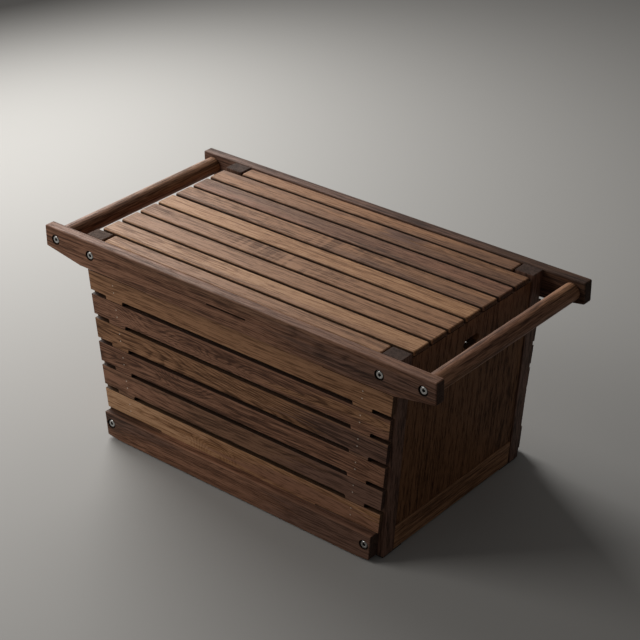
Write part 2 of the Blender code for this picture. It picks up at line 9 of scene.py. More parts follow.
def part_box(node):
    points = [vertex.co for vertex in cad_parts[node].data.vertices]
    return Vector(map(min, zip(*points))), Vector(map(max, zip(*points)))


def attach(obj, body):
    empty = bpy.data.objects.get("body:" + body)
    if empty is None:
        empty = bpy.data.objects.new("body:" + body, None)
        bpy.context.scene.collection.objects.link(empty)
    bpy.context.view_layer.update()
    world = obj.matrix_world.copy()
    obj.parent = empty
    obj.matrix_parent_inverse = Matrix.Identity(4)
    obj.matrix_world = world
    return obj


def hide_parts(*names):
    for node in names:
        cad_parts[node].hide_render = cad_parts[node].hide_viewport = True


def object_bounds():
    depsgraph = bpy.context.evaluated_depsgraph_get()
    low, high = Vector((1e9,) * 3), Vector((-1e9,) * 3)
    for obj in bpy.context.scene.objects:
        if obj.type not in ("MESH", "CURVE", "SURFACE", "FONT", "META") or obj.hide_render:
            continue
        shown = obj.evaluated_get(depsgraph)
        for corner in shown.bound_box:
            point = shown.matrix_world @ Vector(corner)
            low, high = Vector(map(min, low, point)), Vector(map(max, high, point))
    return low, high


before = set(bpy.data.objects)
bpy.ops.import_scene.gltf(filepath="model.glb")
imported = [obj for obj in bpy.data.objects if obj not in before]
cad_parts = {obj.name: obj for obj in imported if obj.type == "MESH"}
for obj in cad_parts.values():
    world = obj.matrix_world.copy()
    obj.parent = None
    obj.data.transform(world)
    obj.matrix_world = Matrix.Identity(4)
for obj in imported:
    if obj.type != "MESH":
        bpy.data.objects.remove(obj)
cad_low, cad_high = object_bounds()

# Corner posts
# Four walnut legs, a little wider than they are deep, that lean in towards the floor. They are sawn and
# planed, with eased edges and dark end grain on top, grooved for the end panels and bolted to the rails.

# Walnut tones as linear colours: the late-growth lines, the body of the wood and its palest streaks.
WALNUT = {
    "pale": ((0.150, 0.070, 0.030), (0.370, 0.195, 0.098), (0.500, 0.290, 0.160)),
    "honey": ((0.110, 0.046, 0.018), (0.290, 0.140, 0.062), (0.430, 0.235, 0.118)),
    "warm": ((0.080, 0.034, 0.014), (0.215, 0.102, 0.048), (0.335, 0.172, 0.088)),
    "rosy": ((0.068, 0.029, 0.016), (0.180, 0.083, 0.046), (0.280, 0.138, 0.082)),
    "brown": ((0.050, 0.022, 0.011), (0.132, 0.063, 0.034), (0.215, 0.110, 0.062)),
    "plum": ((0.036, 0.017, 0.011), (0.098, 0.048, 0.031), (0.168, 0.088, 0.060)),
    "dark": ((0.018, 0.008, 0.005), (0.050, 0.024, 0.014), (0.092, 0.046, 0.027)),
    "veneer": ((0.034, 0.014, 0.006), (0.110, 0.047, 0.020), (0.180, 0.083, 0.038)),
}
TONE_STEPS = (0.05, 0.42, 0.95)
END_GRAIN = (0.026, 0.016, 0.012)
END_GRAIN_SOAK = 0.72
# Painted shade: a near-black brown laid on board sides in the gaps between boards and on the walls of
# holes.
PAINTED_SHADE = (0.010, 0.005, 0.003)
PAINTED_SHADE_STRENGTH = 0.85
GRAIN_AXES = {"X": 0, "Y": 1, "Z": 2}

# Patterns in the wood: features to the metre along the grain and across it, then how fine the detail is.
DRIFT = (1.6, 7.0, 2.0)
WOBBLE = (9.0, 90.0, 2.0)
FIBRES = (24.0, 520.0, 3.0)
STREAKS = (3.0, 150.0, 3.0)
CLOUDS = (1.7, 9.0, 2.0)
PORES = (48.0, 950.0, 2.0)
RIPPLES = (52.0, 9.0, 1.0)
SECOND_TONE_BANDS = (1.1, 14.0, 2.0)
STREAK_WANDER = 0.3

# What each pattern adds to the shade, where 0 is the palest wood and 1 the darkest.
RING_SHADE = 0.75
FIBRE_SHADE = (-0.24, 0.40)
STREAK_SHADE = (-0.22, 0.38)
CLOUD_SHADE = (-0.08, 0.18)
PORE_SHADE = 0.40

# One growth ring, from the early wood to the dark late wood, as a share of its width and a darkness.
RING_STEPS = [(0.0, (0.30,) * 3), (0.45, (0.12,) * 3), (0.86, (1.0,) * 3), (1.0, (0.30,) * 3)]
RING_DRIFT = 0.08
RING_WOBBLE = 1.4
KNOT_STRETCH = 0.40
KNOT_REACH = 7
KNOT_RINGS = 9.0
KNOT_DARKNESS = 0.5
WORN_EDGE_START = 0.0012
WORN_EDGE_END = 0.0050
NO_VECTOR = (0.0, 0.0, 0.0)


def add_node(finish, kind, inputs, **settings):
    """A new node in a material. An input gets either a plain value or a link from another node's socket."""
    made = finish.node_tree.nodes.new(kind)
    for key, value in settings.items():
        setattr(made, key, value)
    for key, value in inputs.items():
        if isinstance(value, bpy.types.NodeSocket):
            finish.node_tree.links.new(value, made.inputs[key])
        else:
            made.inputs[key].default_value = value
    return made


def sum_up(finish, operation, first, second):
    return add_node(finish, "ShaderNodeMath", {0: first, 1: second}, operation=operation).outputs[0]


def vector_sum(finish, operation, first, second):
    made = add_node(finish, "ShaderNodeVectorMath", {0: first, 1: second}, operation=operation)
    return made.outputs["Value" if operation == "LENGTH" else "Vector"]


def along_and_across(grain, along, across):
    """A vector with one value along the grain and another in both directions across it."""
    values = [across] * 3
    values[GRAIN_AXES[grain]] = along
    return Vector(values)


def grain_noise(finish, place, grain, along, across, detail, seed, distortion=0.0):
    """Noise stretched along the grain, with this many features to the metre along and across."""
    stretched = add_node(
        finish,
        "ShaderNodeMapping",
        {"Vector": place, "Location": (seed * 3.7, seed * 5.3, seed * 2.9),
         "Scale": along_and_across(grain, along, across)},
    ).outputs[0]
    return add_node(
        finish,
        "ShaderNodeTexNoise",
        {"Vector": stretched, "Scale": 1.0, "Detail": detail, "Roughness": 0.6, "Distortion": distortion},
    )


def fade(finish, value, start, end, low=0.0, high=1.0):
    """A smooth step of value, from low at start to high at end."""
    return add_node(
        finish,
        "ShaderNodeMapRange",
        {"Value": value, "From Min": start, "From Max": end, "To Min": low, "To Max": high},
        interpolation_type="SMOOTHSTEP",
    ).outputs[0]


def colour_ramp(finish, value, steps):
    """The colour for a value. Each step is a place from 0 to 1 and a colour."""
    made = add_node(finish, "ShaderNodeValToRGB", {"Fac": value})
    ramp = made.color_ramp
    while len(ramp.elements) < len(steps):
        ramp.elements.new(0.5)
    for element, (position, colour) in zip(ramp.elements, steps):
        element.position = position
        element.color = (*colour, 1.0)
    return made.outputs["Color"]


def wood_shades(finish, shade, tone):
    """Walnut of one tone, from its palest streaks at low shade to its late-growth lines at high shade."""
    return colour_ramp(finish, shade, list(zip(TONE_STEPS, reversed(WALNUT[tone]))))


def mix_colours(finish, amount, first, second, blend="MIX"):
    made = add_node(finish, "ShaderNodeMix", {}, data_type="RGBA", blend_type=blend)
    for place, value in ((0, amount), (6, first), (7, second)):
        if isinstance(value, bpy.types.NodeSocket):
            finish.node_tree.links.new(value, made.inputs[place])
        else:
            made.inputs[place].default_value = value if place == 0 else (*value, 1.0)
    return made.outputs[2]


def distance_to(finish, place, spot, grain, stretch):
    """How far a place is from a spot, in metres, with lengths along the grain counted for less."""
    away = vector_sum(finish, "SUBTRACT", place, spot)
    shrunk = vector_sum(finish, "MULTIPLY", away, along_and_across(grain, stretch, 1.0))
    return vector_sum(finish, "LENGTH", shrunk, NO_VECTOR)


def walnut(node, tone, grain, heart, seed, figure=0.5, slope=0.03, rings=300, knots=(), stains=(),
           curl=None, second_tone=None, shaded_sides=None, cuts=(), streakiness=1.0, rubbed=0.5, sheen=0.20):
    """Oiled walnut for one piece, cut from its own place in the tree.

    The heart is the tree's middle, given as two offsets across the grain from the piece's middle, so it
    sets whether the face shows straight lines or arches. Rings are counted to the metre. Knots are
    (spot, radius) and stains are (spot, reach, stretch, tone). Curl is (start, end, strength) of a
    stretch with a cross figure. Shaded sides are the faces along this axis, painted near black as
    shade in the gaps between boards, and cuts are (lowest corner, highest corner) of boxes round holes
    whose walls get the same painted shade.
    """
    wood = bpy.data.materials.new(node + "_walnut")
    wood.use_nodes = True
    skin = wood.node_tree.nodes["Principled BSDF"]
    place = add_node(wood, "ShaderNodeTexCoord", {}).outputs["Object"]
    dark, _, pale = WALNUT[tone]
    low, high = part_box(node)
    middle = (low + high) / 2
    across = [axis for axis in range(3) if axis != GRAIN_AXES[grain]]

    # Growth rings round the heart, pushed about by slow drift and by any knots.
    drift = grain_noise(wood, place, grain, *DRIFT, seed).outputs["Color"]
    centred = vector_sum(wood, "SUBTRACT", drift, (0.5, 0.5, 0.5))
    push = vector_sum(wood, "MULTIPLY", centred, (RING_DRIFT,) * 3)
    drifted = vector_sum(wood, "ADD", place, push)
    centre = middle.copy()
    centre[across[0]] += heart[0]
    centre[across[1]] += heart[1]
    from_heart = vector_sum(wood, "SUBTRACT", drifted, tuple(centre))
    flat = vector_sum(wood, "MULTIPLY", from_heart, along_and_across(grain, 0.0, 1.0))
    radius = vector_sum(wood, "LENGTH", flat, NO_VECTOR)
    lengthwise = add_node(wood, "ShaderNodeSeparateXYZ", {0: from_heart}).outputs[GRAIN_AXES[grain]]
    taper = sum_up(wood, "MULTIPLY", lengthwise, slope)
    count = sum_up(wood, "MULTIPLY", sum_up(wood, "ADD", radius, taper), rings)
    wobble = grain_noise(wood, place, grain, *WOBBLE, seed + 1).outputs["Fac"]
    count = sum_up(wood, "ADD", count, sum_up(wood, "MULTIPLY", wobble, RING_WOBBLE))
    knot_cores = []
    for spot, size in knots:
        reach = distance_to(wood, drifted, tuple(spot), grain, KNOT_STRETCH)
        count = sum_up(wood, "ADD", count, fade(wood, reach, size * KNOT_REACH, 0.0, 0.0, KNOT_RINGS))
        knot_cores.append(fade(wood, reach, size, size * 0.35))
    late_wood = colour_ramp(wood, sum_up(wood, "FRACT", count, 0.0), RING_STEPS)

    # Fine fibres, streaks, slow clouds of colour and open pores.
    fibres = grain_noise(wood, place, grain, *FIBRES, seed + 2).outputs["Fac"]
    streaks = grain_noise(wood, place, grain, *STREAKS, seed + 3, STREAK_WANDER).outputs["Fac"]
    clouds = grain_noise(wood, place, grain, *CLOUDS, seed + 4).outputs["Fac"]
    pore_noise = grain_noise(wood, place, grain, *PORES, seed + 5).outputs["Fac"]
    pores = fade(wood, pore_noise, 0.58, 0.68)

    shade = sum_up(wood, "MULTIPLY", late_wood, RING_SHADE * figure)
    shade = sum_up(wood, "ADD", shade, fade(wood, fibres, 0.38, 0.62, *FIBRE_SHADE))
    streak_shade = [value * streakiness for value in STREAK_SHADE]
    shade = sum_up(wood, "ADD", shade, fade(wood, streaks, 0.38, 0.62, *streak_shade))
    shade = sum_up(wood, "ADD", shade, fade(wood, clouds, 0.35, 0.65, *CLOUD_SHADE))
    if curl:
        start, end, strength = curl
        ripple = grain_noise(wood, place, grain, *RIPPLES, seed + 6).outputs["Fac"]
        lengthways = add_node(wood, "ShaderNodeSeparateXYZ", {0: place}).outputs[GRAIN_AXES[grain]]
        soft = 0.35 * (end - start)
        inside = sum_up(
            wood, "MULTIPLY",
            fade(wood, lengthways, start, start + soft), fade(wood, lengthways, end, end - soft),
        )
        waves = fade(wood, ripple, 0.38, 0.62, -strength, strength)
        shade = sum_up(wood, "ADD", shade, sum_up(wood, "MULTIPLY", waves, inside))
    colour = wood_shades(wood, shade, tone)
    if second_tone:
        other = wood_shades(wood, shade, second_tone)
        bands = grain_noise(wood, place, grain, *SECOND_TONE_BANDS, seed + 7).outputs["Fac"]
        colour = mix_colours(wood, fade(wood, bands, 0.44, 0.58), colour, other)
    for spot, reach, stretch, stain_tone in stains:
        far = distance_to(wood, drifted, tuple(spot), grain, stretch)
        ragged = sum_up(wood, "ADD", far, fade(wood, streaks, 0.3, 0.7, -0.35 * reach, 0.35 * reach))
        amount = fade(wood, ragged, reach, reach * 0.45)
        colour = mix_colours(wood, amount, colour, wood_shades(wood, shade, stain_tone))
    for core in knot_cores:
        colour = mix_colours(wood, core, colour, tuple(KNOT_DARKNESS * value for value in dark))
    colour = mix_colours(wood, sum_up(wood, "MULTIPLY", pores, PORE_SHADE), colour, dark)

    # Handling has rubbed the long edges a little paler.
    from_middle = vector_sum(wood, "SUBTRACT", place, tuple(middle))
    spans = add_node(
        wood, "ShaderNodeSeparateXYZ", {0: vector_sum(wood, "ABSOLUTE", from_middle, NO_VECTOR)}
    )
    reach_in = sum(((high - low) / 2)[axis] for axis in across)
    to_edge = sum_up(
        wood, "SUBTRACT", reach_in,
        sum_up(wood, "ADD", spans.outputs[across[0]], spans.outputs[across[1]]),
    )
    worn = sum_up(
        wood, "MULTIPLY",
        fade(wood, to_edge, WORN_EDGE_END, WORN_EDGE_START),
        fade(wood, clouds, 0.3, 0.7, 0.3 * rubbed, rubbed),
    )
    colour = mix_colours(wood, worn, colour, pale)

    # The ends of the piece drink more oil, so they are darker and duller.
    facing = add_node(wood, "ShaderNodeTexCoord", {}).outputs["Normal"]
    end_on = add_node(wood, "ShaderNodeSeparateXYZ", {0: facing}).outputs[GRAIN_AXES[grain]]
    end_grain = fade(wood, sum_up(wood, "ABSOLUTE", end_on, 0.0), 0.75, 0.95)
    soaked = mix_colours(wood, END_GRAIN_SOAK, colour, END_GRAIN)
    colour = mix_colours(wood, end_grain, colour, soaked)

    # Painted shade: the shaded sides and the walls of holes are darkened towards near black, as if in
    # shadow.
    if shaded_sides:
        sideways = add_node(wood, "ShaderNodeSeparateXYZ", {0: facing}).outputs[GRAIN_AXES[shaded_sides]]
        side_shade = fade(wood, sum_up(wood, "ABSOLUTE", sideways, 0.0), 0.80, 0.97, 0.0, PAINTED_SHADE_STRENGTH)
        colour = mix_colours(wood, side_shade, colour, PAINTED_SHADE)
    for cut_low, cut_high in cuts:
        cut_middle = (Vector(cut_low) + Vector(cut_high)) / 2
        cut_half = (Vector(cut_high) - Vector(cut_low)) / 2
        from_cut = vector_sum(wood, "SUBTRACT", place, tuple(cut_middle))
        share = vector_sum(wood, "DIVIDE", from_cut, tuple(cut_half))
        shares = add_node(
            wood, "ShaderNodeSeparateXYZ", {0: vector_sum(wood, "ABSOLUTE", share, NO_VECTOR)}
        )
        furthest = sum_up(wood, "MAXIMUM", shares.outputs[0], shares.outputs[1])
        furthest = sum_up(wood, "MAXIMUM", furthest, shares.outputs[2])
        colour = mix_colours(wood, fade(wood, furthest, 1.0, 0.96, 0.0, PAINTED_SHADE_STRENGTH), colour, PAINTED_SHADE)
    wood.node_tree.links.new(colour, skin.inputs["Base Color"])

    dull = fade(wood, sum_up(wood, "ADD", shade, pores), 0.0, 1.5, 0.56, 0.76)
    dull = sum_up(wood, "ADD", dull, sum_up(wood, "MULTIPLY", end_grain, 0.22))
    wood.node_tree.links.new(dull, skin.inputs["Roughness"])
    relief = sum_up(wood, "SUBTRACT", sum_up(wood, "MULTIPLY", fibres, 0.6), pores)
    bump = add_node(
        wood, "ShaderNodeBump", {"Strength": 0.35, "Distance": 0.0004, "Height": relief}
    ).outputs["Normal"]
    wood.node_tree.links.new(bump, skin.inputs["Normal"])
    skin.inputs["Specular IOR Level"].default_value = sheen
    return wood


def finish_node(node, material):
    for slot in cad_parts[node].material_slots:
        slot.material = material


POST_TONES = {
    "front_left": ("brown", 11), "front_right": ("plum", 12),
    "back_left": ("plum", 13), "back_right": ("plum", 14),
}
for corner, (tone, seed) in POST_TONES.items():
    node = corner + "_post"
    finish_node(node, walnut(node, tone, "Z", (0.06, 0.05), seed, 0.6, 0.01))

# Slat cleats
# Four upright walnut strips inside the box, one beside each post. They stand on the floor board, are glued
# to the rails, and take the brads through the slats.

for index, corner in enumerate(POST_TONES):
    node = corner + "_slat_cleat"
    finish_node(node, walnut(node, "dark", "Z", (0.05, 0.06), 15 + index, 0.5, 0.01))

# End panels
# Two thin boards of veneered ply between the posts, their grain upright, each with a tongue that sits in
# the posts' grooves. A long finger hole is cut near the top, under the lid.

for side, seed in (("left", 21), ("right", 22)):
    node = side + "_end_panel"
    finish_node(node, walnut(node, "veneer", "Z", (0.02, 0.30), seed, 0.4, 0.02, 180, sheen=0.08))

# End rails
# A walnut board across the foot of each end, glued between the posts, a little proud of the panel.

for side, seed in (("left", 31), ("right", 32)):
    node = side + "_end_rail"
    finish_node(node, walnut(node, "warm", "Y", (0.05, 0.03), seed, 0.5))

# Floor board and its two bearers
# The floor is one sheet of plain ply, notched round the posts. It lies on two walnut strips that are
# glued to the bottom rails, and the slat cleats that stand on it hold it down.

PLY_FACE = (0.330, 0.215, 0.125)
PLY_SHADE = (0.235, 0.145, 0.080)
PLY_GLUE_LINE = (0.075, 0.045, 0.026)
PLY_LAYERS = 7

ply = bpy.data.materials.new("floor_plywood")
ply.use_nodes = True
place = add_node(ply, "ShaderNodeTexCoord", {}).outputs["Object"]
figure = grain_noise(ply, place, "X", 2.2, 32.0, 4.0, 41, 1.2).outputs["Fac"]
fibres = grain_noise(ply, place, "X", 12.0, 600.0, 3.0, 42).outputs["Fac"]
shade = sum_up(ply, "ADD", sum_up(ply, "MULTIPLY", figure, 0.7), sum_up(ply, "MULTIPLY", fibres, 0.3))
face_colour = colour_ramp(ply, shade, [(0.35, PLY_FACE), (0.65, PLY_SHADE)])
floor_low, floor_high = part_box("floor_board")
height = add_node(ply, "ShaderNodeSeparateXYZ", {0: place}).outputs[2]
layers_to_the_metre = PLY_LAYERS / (floor_high.z - floor_low.z)
layer = sum_up(ply, "MULTIPLY", sum_up(ply, "SUBTRACT", height, floor_low.z), layers_to_the_metre)
edge_colour = colour_ramp(
    ply, sum_up(ply, "FRACT", layer, 0.0), [(0.0, PLY_GLUE_LINE), (0.12, PLY_SHADE), (0.9, PLY_FACE)]
)
upward = add_node(
    ply, "ShaderNodeSeparateXYZ", {0: add_node(ply, "ShaderNodeTexCoord", {}).outputs["Normal"]}
).outputs[2]
on_face = fade(ply, sum_up(ply, "ABSOLUTE", upward, 0.0), 0.4, 0.8)
ply_skin = ply.node_tree.nodes["Principled BSDF"]
ply.node_tree.links.new(mix_colours(ply, on_face, edge_colour, face_colour), ply_skin.inputs["Base Color"])
ply.node_tree.links.new(
    add_node(ply, "ShaderNodeBump", {"Strength": 0.2, "Distance": 0.0003, "Height": fibres}).outputs[0],
    ply_skin.inputs["Normal"],
)
ply_skin.inputs["Roughness"].default_value = 0.7
finish_node("floor_board", ply)
for face, seed in (("front", 43), ("back", 44)):
    node = face + "_floor_bearer"
    finish_node(node, walnut(node, "brown", "X", (0.03, 0.05), seed))

# Bottom rails
# Two long walnut boards outside the posts, each held by a bolt at both ends. The front one is cut so
# that a dark streak of heartwood runs out of its left end.

SIDES = {"left": -1, "right": 1}
COUNTERBORE_HALF = 0.0104
FACE_SKIN = 0.0006


def middle_of(node):
    low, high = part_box(node)
    return (low + high) / 2


def counterbore_walls(rail, face, kinds):
    """Boxes round the recesses that the bolt heads sit in, from just under the rail's face, whose walls get
    painted shade.
    """
    boxes = []
    for side in SIDES:
        for kind in kinds:
            bolt = middle_of(f"{face}_{side}_{kind}_bolt")
            rail_low, rail_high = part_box(rail)
            across = Vector((COUNTERBORE_HALF, 0.0, COUNTERBORE_HALF))
            box_low, box_high = bolt - across, bolt + across
            box_low.y, box_high.y = rail_low.y + FACE_SKIN, rail_high.y - FACE_SKIN
            boxes.append((box_low, box_high))
    return boxes


low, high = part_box("front_bottom_rail")
dark_streak = (Vector((low.x + 0.03, low.y, high.z - 0.004)), 0.044, 0.34, "dark")
dark_tail = (Vector((low.x + 0.11, low.y, high.z - 0.022)), 0.018, 0.16, "plum")
brown_end = (Vector((high.x - 0.06, low.y, high.z - 0.030)), 0.070, 0.30, "plum")
recesses = counterbore_walls("front_bottom_rail", "front", ("foot",))
finish_node("front_bottom_rail", walnut("front_bottom_rail", "rosy", "X", (0.03, 0.045), 51, 0.45, 0.02,
                                        stains=(dark_streak, dark_tail, brown_end), cuts=recesses))
recesses = counterbore_walls("back_bottom_rail", "back", ("foot",))
finish_node("back_bottom_rail", walnut("back_bottom_rail", "brown", "X", (-0.03, 0.05), 52, 0.45, 0.02,
                                       cuts=recesses))

# Side slats
# Six thin walnut boards on the front and six on the back, nailed to the cleats, with air gaps between.
# Tabs on their lower edges close the gaps beside the posts. Each board comes from a different plank.

SLAT_BOARD_WIDTH = 0.040
SLAT_STREAKINESS = 0.75

# Each slat's tone, the tree's heart, how strong the figure is, its slope and its rings to the metre.
FRONT_SLATS = {
    1: ("warm", (0.05, 0.040), 0.50, 0.015, 300),
    2: ("rosy", (0.008, 0.004), 0.95, 0.060, 250),
    3: ("warm", (0.010, -0.010), 0.90, 0.070, 230),
    4: ("rosy", (0.006, 0.006), 0.95, 0.055, 260),
    5: ("brown", (0.050, 0.030), 0.50, 0.020, 300),
    6: ("honey", (0.010, -0.012), 0.60, 0.075, 200),
}
BACK_SLATS = {
    1: ("brown", (-0.05, 0.030), 0.5, 0.02, 300),
    2: ("rosy", (-0.010, 0.008), 0.9, 0.06, 270),
    3: ("plum", (-0.05, -0.030), 0.5, 0.02, 300),
    4: ("warm", (-0.008, 0.000), 0.9, 0.07, 250),
    5: ("brown", (-0.03, 0.010), 0.8, 0.04, 340),
    6: ("rosy", (-0.05, 0.040), 0.5, 0.02, 300),
}


def on_slat(number, along, up):
    """A spot on the outside of a front slat, along from its middle and up from its lower edge."""
    slat_low, slat_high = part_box(f"front_slat_{number}")
    return Vector((along, slat_low.y, slat_high.z - SLAT_BOARD_WIDTH + up))


SLAT_KNOTS = {
    2: ((on_slat(2, -0.195, 0.022), 0.007), (on_slat(2, -0.035, 0.014), 0.006)),
    4: ((on_slat(4, -0.115, 0.034), 0.005),),
    6: ((on_slat(6, -0.050, 0.004), 0.004),),
}
SLAT_STAINS = {
    2: ((on_slat(2, 0.250, 0.020), 0.020, 0.09, "warm"),),
    3: ((on_slat(3, 0.300, 0.020), 0.040, 0.20, "plum"),),
    5: ((on_slat(5, -0.290, 0.020), 0.030, 0.12, "rosy"), (on_slat(5, 0.290, 0.020), 0.040, 0.20, "plum")),
    6: ((on_slat(6, -0.290, 0.024), 0.062, 0.22, "pale"), (on_slat(6, 0.200, 0.018), 0.030, 0.10, "rosy")),
}
# The upper and lower edges of the front and back slats get painted shade, so the gaps between them read
# dark.
for number, cut_of_wood in FRONT_SLATS.items():
    node = f"front_slat_{number}"
    tone, heart, figure, slope, rings = cut_of_wood
    finish_node(node, walnut(node, tone, "X", heart, 60 + number, figure, slope, rings,
                             SLAT_KNOTS.get(number, ()), SLAT_STAINS.get(number, ()), shaded_sides="Z",
                             streakiness=SLAT_STREAKINESS))
for number, cut_of_wood in BACK_SLATS.items():
    node = f"back_slat_{number}"
    tone, heart, figure, slope, rings = cut_of_wood
    finish_node(node, walnut(node, tone, "X", heart, 70 + number, figure, slope, rings, shaded_sides="Z",
                             streakiness=SLAT_STREAKINESS))

# Brads
# Small round-headed nails, two through each end of each slat into the cleat behind it. Their heads stand
# just proud of the wood and are rubbed bright.

FACES = {"front": -1, "back": 1}
BRAD_RADIUS = 0.0012
BRAD_STAND = 0.0003
BRAD_SIDES = 16
BRAD_FROM_END = 0.062
BRAD_DROPS = (0.0135, 0.0280)
SLAT_WIDTH = 0.0399
SLAT_TAB_REACH = 0.0078
BOTTOM_SLAT_REACH = 0.0025
BRAD_DULL = (0.55, 0.47, 0.38)
BRAD_BRIGHT = (0.80, 0.74, 0.66)

# A small domed head, as shares of its radius and its height, from under the wood to its top.
DOME = ((1.0, -1.0), (1.0, 0.35), (0.82, 0.8), (0.4, 1.0))

brad_steel = bpy.data.materials.new("brad_steel")
brad_steel.use_nodes = True
place = add_node(brad_steel, "ShaderNodeTexCoord", {}).outputs["Object"]
rubbing = add_node(brad_steel, "ShaderNodeTexNoise", {"Vector": place, "Scale": 900.0, "Detail": 2.0})
brad_skin = brad_steel.node_tree.nodes["Principled BSDF"]
brad_colour = colour_ramp(brad_steel, rubbing.outputs["Fac"], [(0.3, BRAD_DULL), (0.7, BRAD_BRIGHT)])
brad_steel.node_tree.links.new(brad_colour, brad_skin.inputs["Base Color"])
brad_steel.node_tree.links.new(
    fade(brad_steel, rubbing.outputs["Fac"], 0.3, 0.7, 0.3, 0.55), brad_skin.inputs["Roughness"]
)
brad_skin.inputs["Metallic"].default_value = 0.85


def ring_mesh(rings, sides):
    """A closed skin over rings of points that share one count, with its two ends filled."""
    points = [point for ring in rings for point in ring]
    faces = []
    for level in range(len(rings) - 1):
        for step in range(sides):
            after = (step + 1) % sides
            here, above = level * sides, (level + 1) * sides
            faces.append((here + step, here + after, above + after, above + step))
    faces.append(tuple(reversed(range(sides))))
    last = (len(rings) - 1) * sides
    faces.append(tuple(last + step for step in range(sides)))
    return points, faces


def circle(radius, height, sides):
    """A ring of points round local +Z."""
    turn = 2 * math.pi / sides
    return [
        Vector((radius * math.cos(step * turn), radius * math.sin(step * turn), height))
        for step in range(sides)
    ]


def make_piece(name, points, faces, material, body, smooth_angle):
    """One new piece that rides with a body. Edges sharper than the angle, in degrees, stay crisp."""
    mesh = bpy.data.meshes.new(name)
    mesh.from_pydata([tuple(point) for point in points], [], faces)
    mesh.materials.append(material)
    mesh.shade_smooth()
    mesh.set_sharp_from_angle(angle=math.radians(smooth_angle))
    made = bpy.data.objects.new(name, mesh)
    bpy.context.scene.collection.objects.link(made)
    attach(made, body)
    return made


def studs(name, places, facing, radius, stand, sides, material, body):
    """Many small domed heads in one piece, each with its middle on a surface that faces this way."""
    turn = Vector((0, 0, 1)).rotation_difference(Vector(facing)).to_matrix()
    all_points, all_faces = [], []
    for spot in places:
        rings = [circle(radius * out, stand * up, sides) for out, up in DOME]
        points, faces = ring_mesh(rings, sides)
        first = len(all_points)
        all_points += [Vector(spot) + turn @ point for point in points]
        all_faces += [tuple(first + index for index in face) for face in faces]
    return make_piece(name, all_points, all_faces, material, body, 60)


def slat_end(height):
    """How far a slat's end is from the crate's middle at this height, where the ends lean in."""
    top_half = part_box("front_slat_1")[1].x
    foot_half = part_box("front_slat_6")[1].x
    top_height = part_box("front_slat_1")[0].z + SLAT_TAB_REACH + SLAT_WIDTH
    foot_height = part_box("front_slat_6")[0].z + BOTTOM_SLAT_REACH + SLAT_WIDTH
    return foot_half + (top_half - foot_half) * (height - foot_height) / (top_height - foot_height)


for face, sign in FACES.items():
    places = []
    for number in range(1, 7):
        slat_low, slat_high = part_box(f"{face}_slat_{number}")
        outer_y = slat_low.y if sign < 0 else slat_high.y
        top_edge = slat_low.z + SLAT_WIDTH + (BOTTOM_SLAT_REACH if number == 6 else SLAT_TAB_REACH)
        for side_sign in SIDES.values():
            for drop in BRAD_DROPS:
                height = top_edge - drop
                places.append((side_sign * (slat_end(height) - BRAD_FROM_END), outer_y, height))
    studs(face + "_brads", places, (0, sign, 0), BRAD_RADIUS, BRAD_STAND, BRAD_SIDES, brad_steel, "crate")

# Top rails
# Two long walnut boards outside the posts that run on past the box to carry the handles. Their undersides
# rise towards the ends, their edges are rounded, and a narrow slot goes through the middle of each.

SLOT_HALF_LENGTH = 0.0452
SLOT_HALF_HEIGHT = 0.0022
SLOT_DROP = 0.028


def top_rail_cuts(face):
    """Boxes for painted shade on one top rail: round its slot and its four recesses."""
    rail = face + "_top_rail"
    rail_low, rail_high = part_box(rail)
    slot_height = rail_high.z - SLOT_DROP
    slot_low = Vector((-SLOT_HALF_LENGTH, rail_low.y + FACE_SKIN, slot_height - SLOT_HALF_HEIGHT))
    slot_high = Vector((SLOT_HALF_LENGTH, rail_high.y - FACE_SKIN, slot_height + SLOT_HALF_HEIGHT))
    return [(slot_low, slot_high)] + counterbore_walls(rail, face, ("handle", "post"))


low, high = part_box("front_top_rail")
plum_patch = (Vector((0.30, low.y, high.z - 0.020)), 0.040, 0.14, "plum")
finish_node("front_top_rail", walnut("front_top_rail", "rosy", "X", (0.06, 0.05), 81, 0.6, 0.015,
                                     stains=(plum_patch,), second_tone="brown",
                                     cuts=top_rail_cuts("front")))
# The back rail takes the darkest tone as painted shade, since its inner face sits in shadow.
finish_node("back_top_rail", walnut("back_top_rail", "dark", "X", (-0.06, 0.05), 82, 0.5, 0.015,
                                    second_tone="plum", cuts=top_rail_cuts("back")))

# Carry handles
# Two round walnut bars, turned and sanded smooth, each held between the top rails by a bolt in each end.

HANDLE_SIDES = 96
HANDLE_EASE = 0.0012

for side, seed in (("left", 91), ("right", 92)):
    node = side + "_handle"
    low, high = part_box(node)
    middle = (low + high) / 2
    radius = (high.z - low.z) / 2
    half = (high.y - low.y) / 2
    rings = [
        circle(radius - HANDLE_EASE, -half, HANDLE_SIDES),
        circle(radius, -half + HANDLE_EASE, HANDLE_SIDES),
        circle(radius, half - HANDLE_EASE, HANDLE_SIDES),
        circle(radius - HANDLE_EASE, half, HANDLE_SIDES),
    ]
    points, faces = ring_mesh(rings, HANDLE_SIDES)
    lay_down = Matrix.Rotation(math.radians(-90), 3, "X")
    points = [middle + lay_down @ point for point in points]
    wood = walnut(node, "rosy", "Y", (0.010, -0.045), seed, 0.4, 0.02, second_tone="warm")
    bar = make_piece(side + "_turned_handle", points, faces, wood, "crate", 40)
    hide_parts(node)

# Bolts
# Twelve bright steel bolts with round heads and a six-sided socket, each sunk in a round recess. They go
# through the rails into the posts and the handles.

